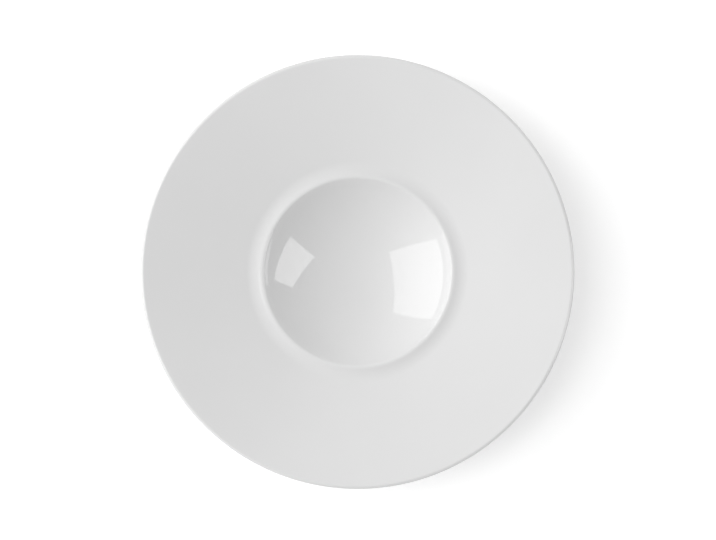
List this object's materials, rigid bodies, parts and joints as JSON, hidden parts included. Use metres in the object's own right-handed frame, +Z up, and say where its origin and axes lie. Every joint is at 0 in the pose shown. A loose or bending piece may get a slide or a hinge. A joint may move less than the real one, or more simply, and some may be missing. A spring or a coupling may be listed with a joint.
{
  "type": "deep plate",
  "caption": "Round deep plate in white glazed porcelain: wide sloping rim, raised collar, bowl-shaped well and a foot ring.",
  "frame": {"origin": "centre of the foot ring, on the surface that the plate stands on", "axes": "+Z up along the plate's axis; X and Y lie in the table, and the plate is the same all round"},
  "size_m": [0.3, 0.3, 0.0528],
  "materials": {
    "porcelain": "matte",
    "glaze": "gloss"
  },
  "bodies": {
    "root": {"porcelain_body": "porcelain", "outer_glaze": "glaze", "base_glaze": "glaze"}
  },
  "joints": []
}
